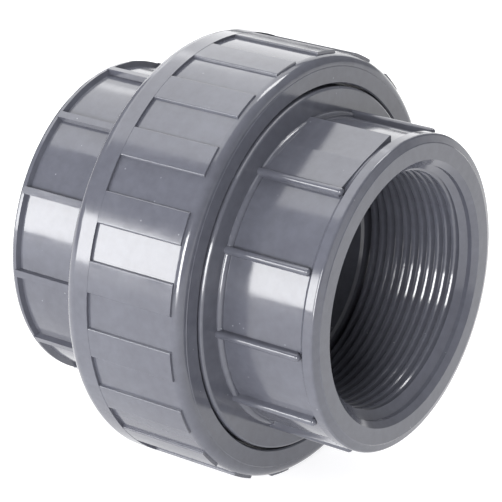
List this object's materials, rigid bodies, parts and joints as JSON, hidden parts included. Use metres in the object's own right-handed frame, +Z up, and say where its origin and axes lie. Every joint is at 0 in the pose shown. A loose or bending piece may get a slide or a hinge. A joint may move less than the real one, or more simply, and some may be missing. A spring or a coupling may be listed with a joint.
{
  "type": "pipe union",
  "caption": "Rigid plastic pipe union with a threaded socket at each end: a body, a sealing ring, a flanged end connector and a ribbed union nut that screws them together.",
  "frame": {"origin": "on the common axis, half way between the two end faces, with the nut screwed tight", "axes": "+X along the common axis out of the end connector's mouth, +Z up"},
  "size_m": [0.086, 0.1032, 0.1032],
  "materials": {
    "body_plastic": "glossy moulded rigid plastic, blue-grey",
    "seal_rubber": "smooth black sealing rubber",
    "connector_plastic": "glossy moulded rigid plastic, blue-grey",
    "nut_plastic": "glossy moulded rigid plastic, blue-grey"
  },
  "bodies": {
    "body": {"union_body": "body_plastic", "o_ring": "seal_rubber"},
    "connector": {"end_connector": "connector_plastic"},
    "nut": {"union_nut": "nut_plastic"}
  },
  "joints": [
    {"name": "connector_slide", "type": "slide", "parent": "body", "child": "connector", "axis": [1, 0, 0], "range_m": [0, 0.0211]},
    {"name": "nut_spin", "type": "hinge", "parent": "connector", "child": "nut", "pos_m": [0, 0, 0], "axis": [1, 0, 0], "range_deg": [0, 1512]}
  ],
  "couplings": [
    {"joint": "connector_slide", "follows": "nut_spin", "m_per_rad": 0.00079577}
  ]
}
